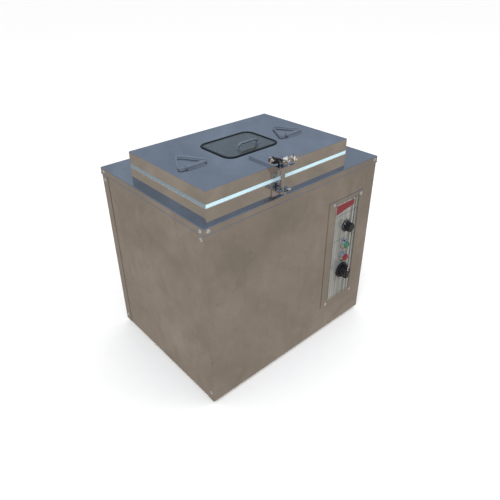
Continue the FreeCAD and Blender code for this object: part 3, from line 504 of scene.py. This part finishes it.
def make_floor():
    """A wide sheet of pale paper, left out of reflections."""
    mesh = bpy.data.meshes.new("floor")
    r = FLOOR_HALF
    mesh.from_pydata([(-r, -r, 0), (r, -r, 0), (r, r, 0), (-r, r, 0)], [], [(0, 1, 2, 3)])
    ob = bpy.data.objects.new("floor", mesh)
    SCENE.collection.objects.link(ob)
    s = Shader("floor_paper")
    fine = s.noise(s.scaled(40.0), 1.0, 3.0, 0.5)
    s.set(Base_Color=s.mix(fine, PAPER_DARK, PAPER_PALE), Roughness=0.95)
    s.bsdf.inputs["Specular IOR Level"].default_value = 0.0
    mesh.materials.append(s.mat)
    ob.visible_glossy = False


GROUND, GROUND_HORIZON = (0.375, 0.320, 0.268), (0.16, 0.15, 0.15)
SKY_DARK, SKY_PALE, SKY_HORIZON = (0.225, 0.275, 0.365), (0.275, 0.34, 0.44), (0.20, 0.22, 0.26)
WHITE_STRENGTH = 1.02
LIT_POINT = (0, 0, 0.2)


def make_world():
    """A soft surround: white, but reflections see warm brown below the horizon and cool grey above."""
    world = bpy.data.worlds.new("studio")
    SCENE.world = world
    world.use_nodes = True
    t = Tree(world.node_tree, "Generated")
    z = t.xyz()[2]
    cloud = t.noise(t.scaled(5.0, (3, 1, 2)), 1.0, 5.0, 0.6, 0.8)
    mottle = t.noise(t.scaled(16.0, (1, 4, 2)), 1.0, 4.0, 0.65, 0.5)
    ground = t.mix(t.span(cloud, 0.3, 0.7), shade(GROUND, 0.90), shade(GROUND, 1.10))
    sky = t.mix(t.span(cloud, 0.3, 0.7), SKY_DARK, SKY_PALE)
    far = t.span(t.math("ABSOLUTE", z), 0.20, 0.05)
    ground = t.mix(far, ground, GROUND_HORIZON)
    sky = t.mix(far, sky, SKY_HORIZON)
    grain = t.span(mottle, 0.35, 0.72, 0.93, 1.07)
    seen = t.mix(1.0, t.mix(t.span(z, -0.02, 0.02), ground, sky), grain, "MULTIPLY")
    mirrored, white = t.node("Background"), t.node("Background")
    t.put(mirrored.inputs[0], seen)
    t.put(white.inputs[0], (1.0, 1.0, 1.0))
    white.inputs[1].default_value = WHITE_STRENGTH
    blend = t.node("MixShader")
    t.link(t.node("LightPath").outputs["Is Glossy Ray"], blend.inputs[0])
    t.link(white.outputs[0], blend.inputs[1])
    t.link(mirrored.outputs[0], blend.inputs[2])
    t.link(blend.outputs[0], t.node("OutputWorld").inputs[0])


def area(name, place, target, size, power):
    """A round soft light that no mirror shows."""
    light = bpy.data.lights.new(name, "AREA")
    light.shape, light.size, light.energy = "DISK", size, power
    ob = bpy.data.objects.new(name, light)
    SCENE.collection.objects.link(ob)
    ob.location = place
    ob.visible_glossy = False
    ob.rotation_euler = (Vector(target) - Vector(place)).to_track_quat("-Z", "Y").to_euler()


CAMERA_PLACE = (-0.560644, -0.650029, 0.723633)
CAMERA_AZIMUTH, CAMERA_TILT, CAMERA_ROLL = 49.776, -30.940, -1.112      # degrees
LENS, SENSOR = 34.144, 36.0                            # millimetres
SHIFT = (0.0239, -0.0273)


def make_camera():
    """Stands above the front left corner and looks down by 31 degrees."""
    azimuth, tilt, roll = (math.radians(a) for a in (CAMERA_AZIMUTH, CAMERA_TILT, CAMERA_ROLL))
    level = math.cos(tilt)
    forward = Vector((level * math.cos(azimuth), level * math.sin(azimuth), math.sin(tilt)))
    side = forward.cross(UPWARD).normalized()
    up = side.cross(forward)
    right = side * math.cos(roll) + up * math.sin(roll)
    top = up * math.cos(roll) - side * math.sin(roll)
    data = bpy.data.cameras.new("camera")
    data.sensor_width, data.lens = SENSOR, LENS
    data.shift_x, data.shift_y = SHIFT
    data.clip_start, data.clip_end = 0.05, 50
    ob = bpy.data.objects.new("camera", data)
    SCENE.collection.objects.link(ob)
    turn = Matrix((right, top, -forward)).transposed().to_4x4()
    ob.matrix_world = Matrix.Translation(CAMERA_PLACE) @ turn
    SCENE.camera = ob


make_camera()
make_floor()
make_world()
area("key", (-1.6, -1.2, 2.2), LIT_POINT, 1.6, 26)
area("fill", (1.9, -1.5, 1.6), LIT_POINT, 1.8, 12)
SCENE.view_settings.view_transform = "Standard"
